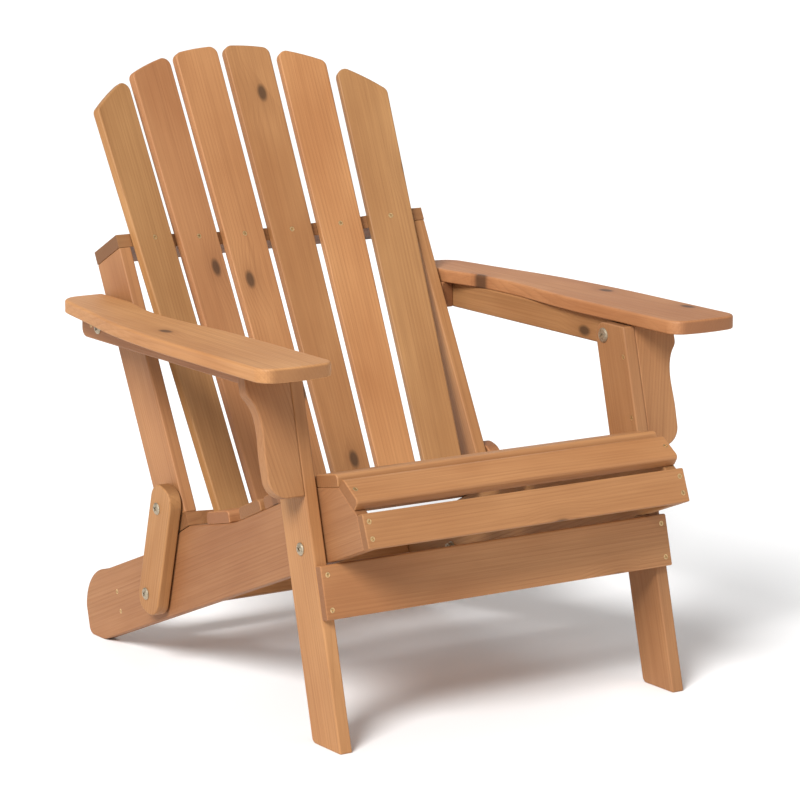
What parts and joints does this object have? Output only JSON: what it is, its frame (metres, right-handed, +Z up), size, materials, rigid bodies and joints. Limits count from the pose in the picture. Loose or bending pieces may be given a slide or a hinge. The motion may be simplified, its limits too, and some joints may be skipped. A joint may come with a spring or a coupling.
{
  "type": "folding adirondack chair",
  "caption": "Folding wooden garden chair with a fan of back slats, sloping slatted seat, broad arms, raked front legs and pivoting rear links.",
  "frame": {"origin": "on the floor under the middle of the chair's bounding box", "axes": "+X towards the sitter's left as seen from in front of the chair looking at it (the viewer's right), +Y to the rear, +Z up; the seat faces -Y"},
  "size_m": [0.798, 0.8567, 0.8829],
  "materials": {
    "frame_wood": "oiled honey-brown fir, fine lengthwise grain, eased edges",
    "slat_wood": "oiled honey-brown fir slats with knots, each board a slightly different tone",
    "zinc_screw": "yellow zinc plated countersunk cross-recess screws",
    "zinc_bolt": "zinc plated pivot bolts, nuts and washers"
  },
  "bodies": {
    "seat": {"left_stringer": "frame_wood", "rear_crossbar": "frame_wood", "right_stringer": "frame_wood", "seat_pivot_bolts": "zinc_bolt", "seat_pivot_nuts": "zinc_bolt", "seat_pivot_washers": "zinc_bolt", "seat_riser": "slat_wood", "seat_screws": "zinc_screw", "seat_slat_1": "slat_wood", "seat_slat_2": "slat_wood", "seat_slat_3": "slat_wood", "seat_slat_4": "slat_wood", "seat_slat_5": "slat_wood", "seat_slat_6": "slat_wood"},
    "leg_frame": {"front_apron": "slat_wood", "left_corbel": "frame_wood", "left_leg": "frame_wood", "leg_arm_bolts": "zinc_bolt", "leg_screws": "zinc_screw", "right_corbel": "frame_wood", "right_leg": "frame_wood"},
    "left_link": {"left_link": "frame_wood", "left_link_bolt": "zinc_bolt", "left_link_nut": "zinc_bolt", "left_link_washers": "zinc_bolt"},
    "right_link": {"right_link": "frame_wood", "right_link_bolt": "zinc_bolt", "right_link_nut": "zinc_bolt", "right_link_washers": "zinc_bolt"},
    "back": {"back_screws": "zinc_screw", "back_slat_1": "slat_wood", "back_slat_2": "slat_wood", "back_slat_3": "slat_wood", "back_slat_4": "slat_wood", "back_slat_5": "slat_wood", "back_slat_6": "slat_wood", "left_upright": "frame_wood", "lower_rail": "frame_wood", "right_upright": "frame_wood", "top_rail": "frame_wood"},
    "left_arm": {"left_arm_back_bolt": "zinc_bolt", "left_arm_back_nut": "zinc_bolt", "left_arm_board": "frame_wood", "left_arm_bolt_end": "zinc_bolt", "left_arm_front_nut": "zinc_bolt", "left_arm_rail": "frame_wood", "left_arm_screws": "zinc_screw", "left_arm_spacer": "frame_wood", "left_arm_washers": "zinc_bolt"},
    "right_arm": {"right_arm_back_bolt": "zinc_bolt", "right_arm_back_nut": "zinc_bolt", "right_arm_board": "frame_wood", "right_arm_bolt_end": "zinc_bolt", "right_arm_front_nut": "zinc_bolt", "right_arm_rail": "frame_wood", "right_arm_screws": "zinc_screw", "right_arm_spacer": "frame_wood", "right_arm_washers": "zinc_bolt"}
  },
  "joints": [
    {"name": "leg_fold", "type": "hinge", "parent": "seat", "child": "leg_frame", "pos_m": [0, -0.292, 0.267], "axis": [1, 0, 0], "range_deg": [0, 83]},
    {"name": "right_link_swing", "type": "hinge", "parent": "seat", "child": "right_link", "pos_m": [0.283, 0.145, 0.112], "axis": [1, 0, 0], "range_deg": [-37.8, 0]},
    {"name": "left_link_swing", "type": "hinge", "parent": "seat", "child": "left_link", "pos_m": [-0.283, 0.145, 0.112], "axis": [1, 0, 0], "range_deg": [-37.8, 0]},
    {"name": "back_fold", "type": "hinge", "parent": "right_link", "child": "back", "pos_m": [0, 0.109, 0.247], "axis": [1, 0, 0], "range_deg": [0, 129.8]},
    {"name": "right_arm_fold", "type": "hinge", "parent": "back", "child": "right_arm", "pos_m": [0.283, 0.242, 0.497], "axis": [1, 0, 0], "range_deg": [-92.99, 0]},
    {"name": "left_arm_fold", "type": "hinge", "parent": "back", "child": "left_arm", "pos_m": [-0.283, 0.242, 0.497], "axis": [1, 0, 0], "range_deg": [-92.99, 0]}
  ],
  "couplings": [
    {"joint": "right_link_swing", "follows": "leg_fold", "ratio": -0.4554},
    {"joint": "left_link_swing", "follows": "leg_fold", "ratio": -0.4554},
    {"joint": "back_fold", "follows": "leg_fold", "ratio": 1.5638},
    {"joint": "right_arm_fold", "follows": "leg_fold", "ratio": -1.1204},
    {"joint": "left_arm_fold", "follows": "leg_fold", "ratio": -1.1204}
  ]
}
